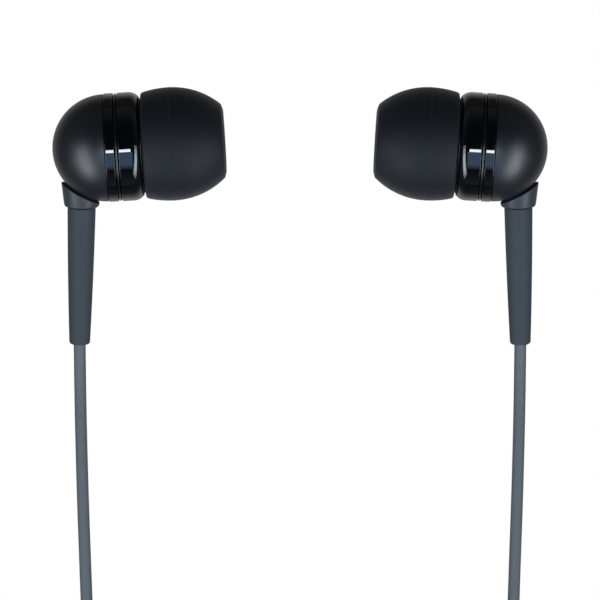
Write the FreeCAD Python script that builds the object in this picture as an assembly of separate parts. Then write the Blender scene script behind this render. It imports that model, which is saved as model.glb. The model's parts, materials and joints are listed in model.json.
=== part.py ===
"""A pair of wired in-ear earphones with a Y lead and an angled 3.5 mm plug.

Millimetres. +Z is up, and the set lies on the plane z = 0 as it would on a table. The origin is on that
plane, under the middle of the two earpieces and their strain reliefs. The earpieces face each other along X,
and their leads run towards -Y. Each earpiece is drawn in a frame of its own, with x along its axis from the
joint between dome and trim towards the ear, and y pointing away from the lead, and is then put in its place.
"""

import FreeCAD, Part
import math
import os

from FreeCAD import Placement, Rotation, Vector

# Housing: a hollow dome, two trim rings with a divider between them, and a front with the nozzle.
dome_radius = 5.9
housing_wall = 0.75
joint_gap = 0.06
edge_break = 0.08
trim_step = 0.07
trim_thickness = 0.7
rear_trim_length = 1.02
divider_length = 0.44
divider_depth = 0.26
divider_fin = 0.12
divider_fin_drop = 0.05
front_trim_length = 2.38
front_trim_shoulder = 1.16
front_trim_drop = 0.55
fit_clearance = 0.03
spigot_length = 0.95
front_plate = 0.55
front_cone_length = 0.95
cone_clearance = 0.1
front_lip = 0.1
nozzle_radius = 2.1
nozzle_wall = 0.6
nozzle_length = 5.21
barb_height = 0.4
barb_length = 1.0
screen_lip = 0.2
screen_thickness = 0.15
vent_radius = 0.3
vent_offset = 3.9

# Ear tip: a soft umbrella on a core tube, parted round its widest place.
tip_gap = 0.2
tip_length = 8.98
tip_radius = 6.275
tip_peak = 3.11
tip_rim_drop = 0.5
tip_rim_rounding = 0.35
tip_front_drop = 2.275
tip_face_step = 0.6
tip_face_drop = 0.18
tip_wall = 0.45
tip_core_wall = 0.9
tip_core_setback = 1.05
tip_crown = 1.5
tip_bore_radius = 1.9
tip_rounding = 0.22

# Moving-coil driver inside the front housing.
driver_clearance = 0.09
driver_rear_x = 0.5
yoke_wall = 0.4
yoke_height = 1.55
magnet_radius = 1.55
magnet_height = 0.75
pole_height = 0.4
coil_gap = 0.13
coil_thickness = 0.12
coil_height = 1.0
coil_lift = 0.45
film = 0.06
frame_floor = 0.35
frame_rim = 0.35
cover_thickness = 0.15
cover_stand = 0.55
cover_hole_radius = 0.45
frame_hole_radius = 0.45
damper_thickness = 0.12
board_radius = 2.3
board_thickness = 0.25
solder_radius = 0.4
solder_offset = 1.2
wire_radius = 0.12

# Lead entry: collar, strain relief and the length of lead inside them, on an axis that leans back a little.
lead_axis_x = -2.6
lead_lean = 4.7
collar_radius = 1.92
collar_flare = 7.5
collar_height = 1.29
collar_gap = 0.24
collar_rounding = 0.2
collar_spigot_radius = 1.35
collar_spigot_inset = 1.1
relief_gap = 0.08
relief_length = 15.44
relief_radius = 1.555
relief_end_radius = 1.14
relief_bulge = 0.05
relief_rounding = 0.3
relief_neck_radius = 1.05
relief_neck_length = 0.9
lead_radius = 0.665
knot_radius = 1.0
knot_gap = 0.35

# Where the earpieces lie: turned a little in plan, and rolled until the strain relief nears the table.
earpiece_x = 21.31
earpiece_y = 7.54
earpiece_turn = 3.4
relief_end_height = 1.75

# Leads beyond the strain reliefs, and the length that is put away in coils.
main_radius = 1.0
table_gap = 0.03
branch_coil_centre = (14.5, -54.0)
branch_coil_inner = 5.0
branch_coil_outer = 9.2
branch_coil_layers = 2
main_coil_centre = (10.0, -96.5)
main_coil_inner = 8.0
main_coil_outer = 14.0
main_coil_layers = 4
coil_clear = 0.12
coil_base = 0.3
branch_winding = (
    branch_coil_inner,
    branch_coil_outer,
    branch_coil_layers,
    lead_radius,
)
main_winding = (main_coil_inner, main_coil_outer, main_coil_layers, main_radius)

# Splitter where the two branches join the main lead.
splitter_x = -2.6
splitter_top = -74.2
splitter_length = 9.5
splitter_width = 5.4
splitter_tail_width = 3.4
splitter_shoulder = 4.2
splitter_height = 2.6
splitter_rounding = 0.75
branch_spacing = 2.4

# Bands that hold the coils.
tie_width = 3.0
tie_thickness = 0.25
tie_angle = 40.0

# Angled plug: grip, strain relief and a jack of coaxial parts.
plug_corner = (-22.3, -92.1)
plug_heading = 198.5
grip_radius = 3.0
grip_length = 9.0
grip_rounding = 0.7
boss_radius = 2.9
boss_length = 4.2
plug_relief_length = 8.0
plug_relief_radius = 2.1
plug_relief_end_radius = 1.35
plug_relief_ribs = 4
rib_gap = 0.7
rib_depth = 0.3
jack_radius = 1.75
jack_flange_radius = 2.3
jack_flange_length = 0.6
sleeve_length = 6.6
insulator_length = 0.6
ring_length = 2.0
jack_tip_land = 0.8
jack_length = 14.0
jack_waist_radius = 1.2
jack_ball_radius = 1.6
jack_pin_radius = 0.45
jack_ring_bore = 0.8
jack_sleeve_bore = 1.25
jack_embed = 2.5

# The route of each lead, from the strain relief on. Right-hand points mirror the left-hand ones until the
# leads go their own ways past the earpieces.
floor = lead_radius + table_gap
main_floor = main_radius + table_gap
splitter_z = splitter_height / 2 + table_gap
left_route = [
    (-24.42, -19.0, floor + 0.1),
    (-24.3, -25.0, floor),
    (-24.12, -31.5, floor),
    (-23.85, -38.9, floor),
    (-23.55, -46.8, floor),
]
right_route = [
    (24.42, -19.0, floor + 0.1),
    (24.3, -25.0, floor),
    (24.12, -31.5, floor),
    (23.85, -38.9, floor),
    (23.6, -46.8, floor),
]
left_tail = [
    (-12.4, -63.9, 1.3),
    (-7.8, -65.6, floor),
    (-5.2, -67.8, floor + 0.2),
    (-3.8, -70.9, splitter_z - 0.1),
]
right_tail = [
    (12.3, -63.8, 1.3),
    (7.6, -64.3, floor),
    (3.1, -65.4, floor),
    (0.2, -67.5, floor + 0.2),
    (-1.4, -70.7, splitter_z - 0.1),
]
main_route = [
    (-2.6, -87.0, splitter_z - 0.1),
    (-2.95, -90.5, main_floor),
]
plug_route = [
    (3.2, -83.8, 7.25),
    (0.0, -84.8, 6.2),
    (-2.7, -85.6, 4.15),
    (-5.9, -86.6, 3.05),
]

# Worked out from the sizes above.
trim_radius = dome_radius + trim_step
trim_bore = trim_radius - trim_thickness
spigot_radius = trim_bore - fit_clearance
skirt_bore = spigot_radius - housing_wall
divider_x = joint_gap + rear_trim_length
front_trim_x = divider_x + divider_length
front_x = front_trim_x + front_trim_length
plate_back_x = front_x - front_plate
neck_x = front_x + front_cone_length
nozzle_x = neck_x + nozzle_length - barb_length
barb_x = nozzle_x
nozzle_end_x = neck_x + nozzle_length
driver_radius = skirt_bore - driver_clearance
nozzle_bore_radius = nozzle_radius - nozzle_wall
barb_radius = nozzle_radius + barb_height
screen_radius = nozzle_radius - screen_lip
tip_rim_radius = tip_radius - tip_rim_drop
tip_front_radius = tip_radius - tip_front_drop
tip_face_radius = tip_front_radius - tip_face_step
tip_x = front_x + tip_gap
# The cone starts at the skirt's edge, or further in where that would touch the ear tip's inner rim.
cone_radius = min(spigot_radius - edge_break, tip_rim_radius - tip_wall - cone_clearance)
tip_peak_x = tip_x + tip_peak
tip_end_x = tip_x + tip_length
core_x = tip_x + tip_core_setback
core_bore = nozzle_radius + fit_clearance
core_radius = core_bore + tip_core_wall
lean = math.radians(lead_lean)
# How far along the lead's axis the dome's outside and inside are, where that axis leaves them.
inner_radius = dome_radius - housing_wall
axis_middle, axis_offset = (
    lead_axis_x * math.sin(lean),
    lead_axis_x * math.cos(lean),
)
dome_exit = axis_middle + math.sqrt(dome_radius**2 - axis_offset**2)
inner_exit = axis_middle + math.sqrt(inner_radius**2 - axis_offset**2)
collar_end = dome_exit + collar_height
relief_start = collar_end + relief_gap
relief_end = relief_start + relief_length
knot_s = inner_exit - collar_spigot_inset - knot_gap - knot_radius
table_height = max(tip_radius, trim_radius)
earpiece_roll = math.degrees(
    math.asin((table_height - relief_end_height) / (relief_end * math.cos(lean)))
)


def rounded_corner(before, corner, after, radius):
    """The arc that rounds one corner of an outline, as its first, middle and last points."""
    inward = (before - corner).normalize()
    outward = (after - corner).normalize()
    half = inward.getAngle(outward) / 2
    reach = radius / math.tan(half)
    bisector = (inward + outward).normalize()
    centre = corner + bisector * (radius / math.sin(half))
    return (
        corner + inward * reach,
        centre - bisector * radius,
        corner + outward * reach,
    )


def outline(*corners):
    """A closed face in the x-y plane. A corner is (x, y), or (x, y, r) to round it with radius r, or
    (x, y, "via") for a point that an arc passes through between the corners on each side of it."""
    places = [Vector(c[0], c[1], 0) for c in corners]
    kinds = [c[2] if len(c) > 2 else 0 for c in corners]
    count = len(corners)
    spans = []
    for i, (place, kind) in enumerate(zip(places, kinds)):
        if kind == "via":
            continue
        if kind:
            spans.append(
                rounded_corner(places[i - 1], place, places[(i + 1) % count], kind)
            )
        else:
            spans.append((place, None, place))
    kept = [i for i, kind in enumerate(kinds) if kind != "via"]
    edges = []
    for n, i in enumerate(kept):
        first, middle, last = spans[n]
        if middle is not None:
            edges.append(Part.Arc(first, middle, last).toShape())
        start = last
        end = spans[(n + 1) % len(kept)][0]
        following = (i + 1) % count
        if kinds[following] == "via":
            edges.append(Part.Arc(start, places[following], end).toShape())
        elif start.distanceToPoint(end) > 1e-7:
            edges.append(Part.LineSegment(start, end).toShape())
    return Part.Face(Part.Wire(edges))


def turned(*corners):
    """A solid turned round the x axis from an outline whose y values are radii."""
    return outline(*corners).revolve(Vector(), Vector(1, 0, 0), 360)


def pipe_section(start, end, outer, inner=0.0, chamfer=0.0):
    """A straight tube or rod on the x axis."""
    if chamfer:
        return turned(
            (start, inner),
            (start, outer - chamfer),
            (start + chamfer, outer),
            (end - chamfer, outer),
            (end, outer - chamfer),
            (end, inner),
        )
    return turned((start, inner), (start, outer), (end, outer), (end, inner))


def ball(x, radius):
    """A ball on the x axis."""
    return Part.makeSphere(radius, Vector(x, 0, 0))


def around(count, offset, shape):
    """Copies of a shape, moved out from the x axis by offset and spread evenly round it."""
    copies = []
    for i in range(count):
        copy = shape.copy()
        copy.translate(Vector(0, offset, 0))
        copy.rotate(Vector(), Vector(1, 0, 0), 360.0 * i / count)
        copies.append(copy)
    return copies


def level_arc_point(peak, end):
    """The point half way along an arc that starts level at its peak, both given as (x, radius)."""
    run = end[0] - peak[0]
    drop = peak[1] - end[1]
    radius = (run**2 + drop**2) / (2 * drop)
    half = run / 2
    return (peak[0] + half, peak[1] - radius + math.sqrt(radius**2 - half**2), "via")


def cap_point(base, lift, radius):
    """The point half way along the arc of a cap of a ball, from its top on the x axis to its edge."""
    ball_radius = (radius**2 + lift**2) / (2 * lift)
    half = math.asin(radius / ball_radius) / 2
    return (
        base + lift - ball_radius * (1 - math.cos(half)),
        ball_radius * math.sin(half),
        "via",
    )


def placed(shape, placement):
    """A copy of a shape at a placement."""
    return shape.transformed(placement.toMatrix(), True)


# The earpiece, in its own frame.

lead_direction = Vector(-math.sin(lean), -math.cos(lean), 0)
lead_frame = Placement(
    Vector(lead_axis_x, 0, 0), Rotation(Vector(1, 0, 0), lead_direction)
)


def rear_housing():
    """Hollow dome with a spigot that the rear trim ring sits on, and a hole for the collar."""
    shell = turned(
        (-inner_radius, 0),
        (-dome_radius, 0),
        (
            -dome_radius * math.cos(math.pi / 4),
            dome_radius * math.sin(math.pi / 4),
            "via",
        ),
        (-edge_break, dome_radius),
        (0, dome_radius - edge_break),
        (0, spigot_radius),
        (spigot_length, spigot_radius),
        (spigot_length, skirt_bore),
        (0, skirt_bore),
        (0, inner_radius - housing_wall / 2),
        (
            -inner_radius * math.cos(math.pi / 4),
            inner_radius * math.sin(math.pi / 4),
            "via",
        ),
    )
    hole = pipe_section(0, dome_radius, collar_spigot_radius + fit_clearance)
    return shell.cut(placed(hole, lead_frame))


def cable_collar():
    """Flared collar whose upper end follows the dome, with a spigot through the dome's wall."""
    flare = math.tan(math.radians(collar_flare))
    top = collar_end - dome_radius / 2
    cone = turned(
        (top, 0),
        (top, collar_radius + (collar_end - top) * flare),
        (collar_end, collar_radius, collar_rounding),
        (collar_end, 0),
    )
    outside = placed(cone, lead_frame).cut(
        Part.makeSphere(dome_radius + collar_gap, Vector())
    )
    spigot = pipe_section(
        inner_exit - collar_spigot_inset, collar_end - edge_break, collar_spigot_radius
    )
    bore = pipe_section(0, relief_end, lead_radius + fit_clearance)
    socket = pipe_section(
        collar_end - relief_neck_length,
        relief_end,
        relief_neck_radius + fit_clearance,
    )
    body = outside.fuse(placed(spigot, lead_frame)).removeSplitter()
    return body.cut(placed(bore, lead_frame)).cut(placed(socket, lead_frame))


def strain_relief():
    """Long tapered sleeve, moulded round the lead, with a neck in the collar's socket."""
    middle = (relief_start + relief_end) / 2
    sleeve = turned(
        (relief_start - relief_neck_length, lead_radius + fit_clearance),
        (relief_start - relief_neck_length, relief_neck_radius),
        (relief_start, relief_neck_radius),
        (relief_start, relief_radius, edge_break),
        (middle, (relief_radius + relief_end_radius) / 2 + relief_bulge, "via"),
        (relief_end, relief_end_radius, relief_rounding),
        (relief_end, lead_radius + fit_clearance),
    )
    return placed(sleeve, lead_frame)


def cable_tail():
    """The lead from its knot inside the dome to the end of the strain relief."""
    tail = pipe_section(knot_s, relief_end, lead_radius)
    return placed(tail.fuse(ball(knot_s, knot_radius)), lead_frame)


def rear_trim_ring():
    return pipe_section(joint_gap, divider_x, trim_radius, trim_bore, edge_break)


def trim_divider():
    """Sunk ring between the trim rings, with a thin fin round its middle."""
    floor_radius = trim_radius - divider_depth
    fin_start = divider_x + (divider_length - divider_fin) / 2
    fin_end = fin_start + divider_fin
    fin_radius = trim_radius - divider_fin_drop
    return turned(
        (divider_x, trim_bore),
        (divider_x, floor_radius),
        (fin_start, floor_radius),
        (fin_start, fin_radius),
        (fin_end, fin_radius),
        (fin_end, floor_radius),
        (front_trim_x, floor_radius),
        (front_trim_x, trim_bore),
    )


def front_trim_ring():
    """The wide trim ring, whose outside falls away in a rounded shoulder towards the front."""
    shoulder = (front_x - front_trim_shoulder, trim_radius)
    rim = (front_x, trim_radius - front_trim_drop)
    return turned(
        (front_trim_x, trim_bore),
        (front_trim_x, trim_radius - edge_break),
        (front_trim_x + edge_break, trim_radius),
        shoulder,
        level_arc_point(shoulder, rim),
        rim,
        (front_x, trim_bore),
    )


def front_housing():
    """Skirt inside the trim rings, front plate, and the nozzle with its barb, bore and screen seat."""
    body = turned(
        (spigot_length + fit_clearance, skirt_bore),
        (spigot_length + fit_clearance, spigot_radius),
        (front_x + front_lip, spigot_radius, edge_break / 2),
        (front_x + front_lip, cone_radius),
        (neck_x, nozzle_radius + front_plate, front_plate),
        (neck_x, nozzle_radius),
        (barb_x, nozzle_radius),
        (barb_x, barb_radius, edge_break),
        (nozzle_end_x, nozzle_radius, edge_break),
        (nozzle_end_x, screen_radius + fit_clearance),
        (nozzle_end_x - screen_thickness, screen_radius + fit_clearance),
        (nozzle_end_x - screen_thickness, nozzle_bore_radius),
        (plate_back_x, nozzle_bore_radius),
        (plate_back_x, skirt_bore),
    )
    vent = pipe_section(plate_back_x - front_plate, neck_x, vent_radius)
    return body.cut(around(1, vent_offset, vent)[0])


def nozzle_screen():
    return pipe_section(
        nozzle_end_x - screen_thickness, nozzle_end_x - edge_break / 2, screen_radius
    )


def ear_tip():
    """Soft umbrella on a core tube, grooved inside for the nozzle's barb."""
    peak = (tip_peak_x, tip_radius)
    inner_peak = (tip_peak_x, tip_radius - tip_wall)
    front = (tip_end_x - tip_face_drop, tip_front_radius)
    rim = (tip_x, tip_rim_radius)
    inner_front = (tip_end_x - tip_crown - tip_wall, tip_front_radius + tip_wall / 2)
    inner_rim = (tip_x, tip_rim_radius - tip_wall)
    groove_radius = barb_radius + fit_clearance
    groove_start = barb_x - fit_clearance
    groove_end = nozzle_end_x + fit_clearance
    return turned(
        (core_x, core_bore),
        (groove_start, core_bore),
        (groove_start, groove_radius),
        (groove_end, groove_radius),
        (groove_end, tip_bore_radius),
        (tip_end_x, tip_bore_radius, tip_rounding),
        (tip_end_x, tip_face_radius, tip_rounding),
        front,
        level_arc_point(peak, front),
        peak,
        level_arc_point(peak, rim),
        (*rim, tip_rim_rounding),
        inner_rim,
        level_arc_point(inner_peak, inner_rim),
        inner_peak,
        level_arc_point(inner_peak, inner_front),
        inner_front,
        (tip_end_x - tip_crown, core_radius + tip_wall),
        (tip_end_x - tip_crown, core_radius, tip_rounding),
        (core_x, core_radius, tip_rounding),
    )


# The driver, from the back.
yoke_x = driver_rear_x
magnet_x = yoke_x + yoke_wall
pole_x = magnet_x + magnet_height
pole_radius = magnet_radius + coil_gap
coil_bore = pole_radius + coil_gap
coil_radius = coil_bore + coil_thickness
yoke_bore = coil_radius + coil_gap
coil_x = magnet_x + coil_lift
film_x = coil_x + coil_height
frame_x = yoke_x + yoke_height / 3
rim_x = film_x
cover_x = rim_x + film


def yoke():
    yoke_end = yoke_x + yoke_height
    return turned(
        (yoke_x, 0),
        (yoke_x, yoke_bore + yoke_wall, edge_break),
        (yoke_end, yoke_bore + yoke_wall),
        (yoke_end, yoke_bore),
        (magnet_x, yoke_bore),
        (magnet_x, 0),
    )


def magnet():
    return pipe_section(magnet_x, pole_x, magnet_radius, chamfer=edge_break)


def pole_plate():
    return pipe_section(pole_x, pole_x + pole_height, pole_radius)


def voice_coil():
    return pipe_section(coil_x, film_x, coil_radius, coil_bore)


def diaphragm():
    """Thin film: a dome over the coil, a rolled surround, and a flat edge on the frame's rim."""
    edge = driver_radius - frame_rim
    roll_middle = (coil_radius + edge) / 2
    roll_lift = coil_lift / 2
    dome_lift = coil_lift * 0.8
    front = film_x + film
    return turned(
        (film_x + dome_lift, 0),
        cap_point(film_x, dome_lift, coil_radius),
        (film_x, coil_radius),
        (film_x + roll_lift, roll_middle, "via"),
        (film_x, edge),
        (film_x, driver_radius - fit_clearance),
        (front, driver_radius - fit_clearance),
        (front, edge),
        (front + roll_lift, roll_middle, "via"),
        (front, coil_radius),
        cap_point(front, dome_lift, coil_radius),
        (front + dome_lift, 0),
    )


def driver_frame():
    """Basket that holds the yoke, with vent holes in its floor and the diaphragm on its rim."""
    yoke_outside = yoke_bore + yoke_wall + fit_clearance
    basket = turned(
        (frame_x, yoke_outside),
        (frame_x, driver_radius, edge_break),
        (rim_x, driver_radius),
        (rim_x, driver_radius - frame_rim),
        (frame_x + frame_floor, driver_radius - frame_rim),
        (frame_x + frame_floor, yoke_outside),
    )
    hole_offset = (yoke_outside + driver_radius - frame_rim) / 2
    hole = pipe_section(frame_x, frame_x + frame_floor, frame_hole_radius)
    return basket.cut(Part.makeCompound(around(4, hole_offset, hole)))


def driver_cover():
    """Pressed cover over the diaphragm, perforated in front of it."""
    cap_x = cover_x + cover_stand
    cap_end = cap_x + cover_thickness
    cover = turned(
        (cap_x, 0),
        (cap_end, 0),
        (cap_end, driver_radius, edge_break),
        (cover_x, driver_radius),
        (cover_x, driver_radius - cover_thickness),
        (cap_x, driver_radius - cover_thickness),
    )
    hole = pipe_section(cap_x, cap_end, cover_hole_radius)
    holes = [hole] + around(6, driver_radius / 2, hole)
    return cover.cut(Part.makeCompound(holes))


def damping_disc():
    """Paper ring over the vent holes in the basket."""
    yoke_outside = yoke_bore + yoke_wall + fit_clearance
    return pipe_section(
        frame_x - damper_thickness, frame_x, driver_radius - frame_rim, yoke_outside
    )


def terminal_board():
    """Round board on the back of the yoke, with two solder joints."""
    board = pipe_section(yoke_x - board_thickness, yoke_x, board_radius)
    blob = ball(yoke_x - board_thickness, solder_radius)
    keep = pipe_section(
        yoke_x - board_thickness - solder_radius,
        yoke_x - board_thickness,
        solder_radius,
    )
    joints = around(2, solder_offset, blob.common(keep))
    return Part.makeCompound([board] + joints)


def lead_wires():
    """Two fine wires from the knot to the solder joints, each bent once."""
    knot_centre = lead_frame.multVec(Vector(knot_s, 0, 0))
    wires = []
    for side in (1, -1):
        pad = Vector(
            yoke_x - board_thickness - solder_radius, side * solder_offset, 0
        )
        towards = Vector(0.3, 0.9, side * 0.3).normalize()
        start = knot_centre + towards * (knot_radius - wire_radius / 2)
        bend = Vector(start.x + towards.x, (start.y + pad.y) / 2, start.z)
        wires.append(lead_tube([start, bend, pad], wire_radius))
    return Part.makeCompound(wires)


# Free leads.


def lead_path(points):
    """Straight runs joined by tangent arcs, each as large as its two runs allow, and the arcs' radii."""
    edges = []
    radii = []
    start = points[0]
    for before, corner, after in zip(points, points[1:], points[2:]):
        inward = (before - corner).normalize()
        outward = (after - corner).normalize()
        shorter = min(before.distanceToPoint(corner), corner.distanceToPoint(after))
        half_turn = (math.pi - inward.getAngle(outward)) / 2
        radius = 0.45 * shorter / math.tan(half_turn)
        first, middle, last = rounded_corner(before, corner, after, radius)
        edges.append(Part.LineSegment(start, first).toShape())
        edges.append(Part.Arc(first, middle, last).toShape())
        radii.append(radius)
        start = last
    edges.append(Part.LineSegment(start, points[-1]).toShape())
    return Part.Wire(edges), radii


def lead_tube(points, radius):
    """A round lead along a route."""
    path, radii = lead_path(points)
    circle = Part.Circle(points[0], points[1] - points[0], radius)
    tube = path.makePipeShell([Part.Wire(circle.toShape())], True, False)
    ratio = tube.Volume / (math.pi * radius**2 * path.Length)
    print(
        f"route of {path.Length:.1f} mm, volume ratio {ratio:.4f}, radii",
        [round(r, 1) for r in radii],
    )
    return tube


def on_circle(centre, radius, angle, height):
    """A point on a level circle, with its angle in degrees."""
    turn = math.radians(angle)
    return Vector(
        centre[0] + radius * math.cos(turn), centre[1] + radius * math.sin(turn), height
    )


def coil_section(winding, margin=0.0):
    """The inner and outer radius, and the bottom and top, of a coil's section."""
    inner, outer, layers, radius = winding
    top = coil_base + 2 * layers * radius + coil_clear
    return (
        inner - radius - coil_clear - margin,
        outer + radius + coil_clear + margin,
        coil_base - margin,
        top + margin,
    )


def coil_solid(centre, winding):
    """The outer shape of a coil: its section, with rounded corners, turned round an upright axis."""
    radius = winding[3]
    inner, outer, bottom, top = coil_section(winding)
    ring = turned(
        (bottom, inner, radius),
        (bottom, outer, radius),
        (top, outer, radius),
        (top, inner, radius),
    )
    upright = Rotation(Vector(0, -1, 0), 90)
    return placed(ring, Placement(Vector(centre[0], centre[1], 0), upright))


def coil_tie(centre, winding, angle):
    """A flat band closely round the section of a coil, where a radius at an angle crosses it."""
    radius = winding[3]
    hole_sides = coil_section(winding, fit_clearance)
    skin_sides = coil_section(winding, tie_thickness)
    faces = []
    for (inner, outer, bottom, top), rounding in (
        (hole_sides, radius),
        (skin_sides, radius + tie_thickness),
    ):
        faces.append(
            outline(
                (inner, bottom, rounding),
                (outer, bottom, rounding),
                (outer, top, rounding),
                (inner, top, rounding),
            )
        )
    hole, skin = faces
    band = skin.cut(hole).extrude(Vector(0, 0, tie_width))
    band.translate(Vector(0, 0, -tie_width / 2))
    band.rotate(Vector(), Vector(1, 0, 0), 90)
    band.rotate(Vector(), Vector(0, 0, 1), angle)
    band.translate(Vector(centre[0], centre[1], 0))
    return band


# Splitter and plug.

branch_entries = {
    side: Vector(splitter_x + side * branch_spacing / 2, splitter_top, splitter_z)
    for side in (-1, 1)
}
main_exit = Vector(splitter_x, splitter_top - splitter_length, splitter_z)


def cable_splitter():
    """Flat moulding, wide where the branches enter and narrow where the main lead leaves."""
    bottom = splitter_top - splitter_length
    shoulder = splitter_top - splitter_shoulder
    half = splitter_width / 2
    tail = splitter_tail_width / 2
    plan = outline(
        (-half, splitter_top, splitter_rounding),
        (half, splitter_top, splitter_rounding),
        (half, shoulder, splitter_width),
        (tail, bottom, splitter_rounding),
        (-tail, bottom, splitter_rounding),
        (-half, shoulder, splitter_width),
    )
    block = plan.extrude(Vector(0, 0, splitter_height))
    block.translate(Vector(splitter_x, 0, table_gap))
    levels = (table_gap, table_gap + splitter_height)
    rims = [
        e
        for e in block.Edges
        if any(all(abs(v.Z - z) < 1e-6 for v in e.Vertexes) for z in levels)
    ]
    return block.makeFillet(splitter_rounding * 0.9, rims)


plug_frame = Placement(
    Vector(plug_corner[0], plug_corner[1], grip_radius + table_gap),
    Rotation(Vector(0, 0, 1), plug_heading),
)
jack_frame = plug_frame.multiply(
    Placement(Vector(), Rotation(Vector(0, 0, 1), 90))
)
relief_root = -(grip_length - grip_radius)
plug_entry = plug_frame.multVec(Vector(relief_root - plug_relief_length, 0, 0))


def plug_grip():
    """Rounded barrel in line with the lead, and a boss at a right angle that the jack stands in."""
    barrel = turned(
        (relief_root, 0),
        (relief_root, grip_radius, grip_rounding),
        (grip_radius, grip_radius, grip_radius * 0.8),
        (grip_radius, 0),
    )
    boss = turned(
        (0, 0),
        (0, boss_radius),
        (boss_length, boss_radius, grip_rounding),
        (boss_length, 0),
    )
    body = placed(barrel, plug_frame).fuse(placed(boss, jack_frame)).removeSplitter()
    core = pipe_section(boss_length - jack_embed, jack_length, jack_radius)
    seat = pipe_section(relief_root, relief_root + jack_embed, plug_relief_end_radius)
    return body.cut(placed(core, jack_frame)).cut(placed(seat, plug_frame))


def plug_relief():
    """Tapered sleeve with rings cut into it, and a spigot that the grip is moulded round."""
    root = relief_root - edge_break / 4
    end = relief_root - plug_relief_length
    slope = (plug_relief_radius - plug_relief_end_radius) / plug_relief_length
    corners = [
        (relief_root + jack_embed, main_radius),
        (relief_root + jack_embed, plug_relief_end_radius),
        (root, plug_relief_end_radius),
        (root, plug_relief_radius),
    ]
    pitch = plug_relief_length / (plug_relief_ribs + 1)
    for i in range(plug_relief_ribs):
        middle = relief_root - pitch * (i + 1)
        for x, depth in (
            (middle + rib_gap / 2, 0),
            (middle + rib_gap / 2, rib_depth),
            (middle - rib_gap / 2, rib_depth),
            (middle - rib_gap / 2, 0),
        ):
            corners.append((x, plug_relief_radius - slope * (relief_root - x) - depth))
    corners += [(end, plug_relief_end_radius, edge_break * 2), (end, main_radius)]
    sleeve = turned(*corners)
    return placed(sleeve, plug_frame)


def plug_cable_core():
    """The end of the main lead inside the plug's strain relief."""
    core = pipe_section(
        relief_root - plug_relief_length, relief_root + jack_embed, main_radius
    )
    return placed(core, plug_frame)


def jack_sleeve():
    start = boss_length
    end = start + sleeve_length
    sleeve = turned(
        (start - jack_embed, jack_sleeve_bore),
        (start - jack_embed, jack_radius),
        (start, jack_radius),
        (start, jack_flange_radius, edge_break),
        (start + jack_flange_length, jack_flange_radius, edge_break),
        (start + jack_flange_length, jack_radius),
        (end, jack_radius),
        (end, jack_sleeve_bore),
    )
    return placed(sleeve, jack_frame)


def jack_ring():
    start = boss_length + sleeve_length + insulator_length
    ring = turned(
        (boss_length - jack_embed, jack_ring_bore),
        (boss_length - jack_embed, jack_sleeve_bore - insulator_length / 3),
        (start, jack_sleeve_bore - insulator_length / 3),
        (start, jack_radius),
        (start + ring_length, jack_radius),
        (start + ring_length, jack_ring_bore),
    )
    return placed(ring, jack_frame)


def jack_tip():
    """Ball-nosed contact on a pin that runs back through the jack."""
    start = boss_length + sleeve_length + 2 * insulator_length + ring_length
    end = boss_length + jack_length
    nose = end - jack_ball_radius
    waist = (start + jack_tip_land + nose) / 2
    tip = turned(
        (boss_length - jack_embed, 0),
        (boss_length - jack_embed, jack_pin_radius),
        (start, jack_pin_radius),
        (start, jack_radius),
        (start + jack_tip_land, jack_radius),
        (waist, jack_waist_radius, jack_tip_land),
        (nose, jack_ball_radius, jack_tip_land / 2),
        (end, jack_pin_radius, edge_break),
        (end, 0),
    )
    return placed(tip, jack_frame)


def jack_insulators():
    """The two rings that part the contacts, each with the sleeve that runs back inside them."""
    back = boss_length - jack_embed
    first = boss_length + sleeve_length
    second = first + insulator_length + ring_length
    ring_outside = jack_sleeve_bore - insulator_length / 3
    outer = turned(
        (back, ring_outside),
        (back, jack_sleeve_bore),
        (first, jack_sleeve_bore),
        (first, jack_radius),
        (first + insulator_length, jack_radius),
        (first + insulator_length, ring_outside),
    )
    inner = turned(
        (back, jack_pin_radius),
        (back, jack_ring_bore),
        (second, jack_ring_bore),
        (second, jack_radius),
        (second + insulator_length, jack_radius),
        (second + insulator_length, jack_pin_radius),
    )
    return Part.makeCompound([placed(outer, jack_frame), placed(inner, jack_frame)])


# Putting it together.

earpiece_parts = {
    "rear_housing": rear_housing,
    "cable_collar": cable_collar,
    "strain_relief": strain_relief,
    "cable_tail": cable_tail,
    "rear_trim_ring": rear_trim_ring,
    "trim_divider": trim_divider,
    "front_trim_ring": front_trim_ring,
    "front_housing": front_housing,
    "nozzle_screen": nozzle_screen,
    "ear_tip": ear_tip,
    "yoke": yoke,
    "magnet": magnet,
    "pole_plate": pole_plate,
    "voice_coil": voice_coil,
    "diaphragm": diaphragm,
    "driver_frame": driver_frame,
    "driver_cover": driver_cover,
    "damping_disc": damping_disc,
    "terminal_board": terminal_board,
    "lead_wires": lead_wires,
}


def earpiece_frame(side):
    """Where an earpiece lies: side -1 is the left one, and the right one is the same piece turned over."""
    flip = Rotation(Vector(0, 1, 0), 0 if side < 0 else 180)
    roll = Rotation(Vector(1, 0, 0), earpiece_roll)
    turn = Rotation(Vector(0, 0, 1), -side * earpiece_turn)
    place = Vector(side * earpiece_x, earpiece_y, table_height)
    return Placement(place, turn.multiply(roll).multiply(flip))


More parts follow.
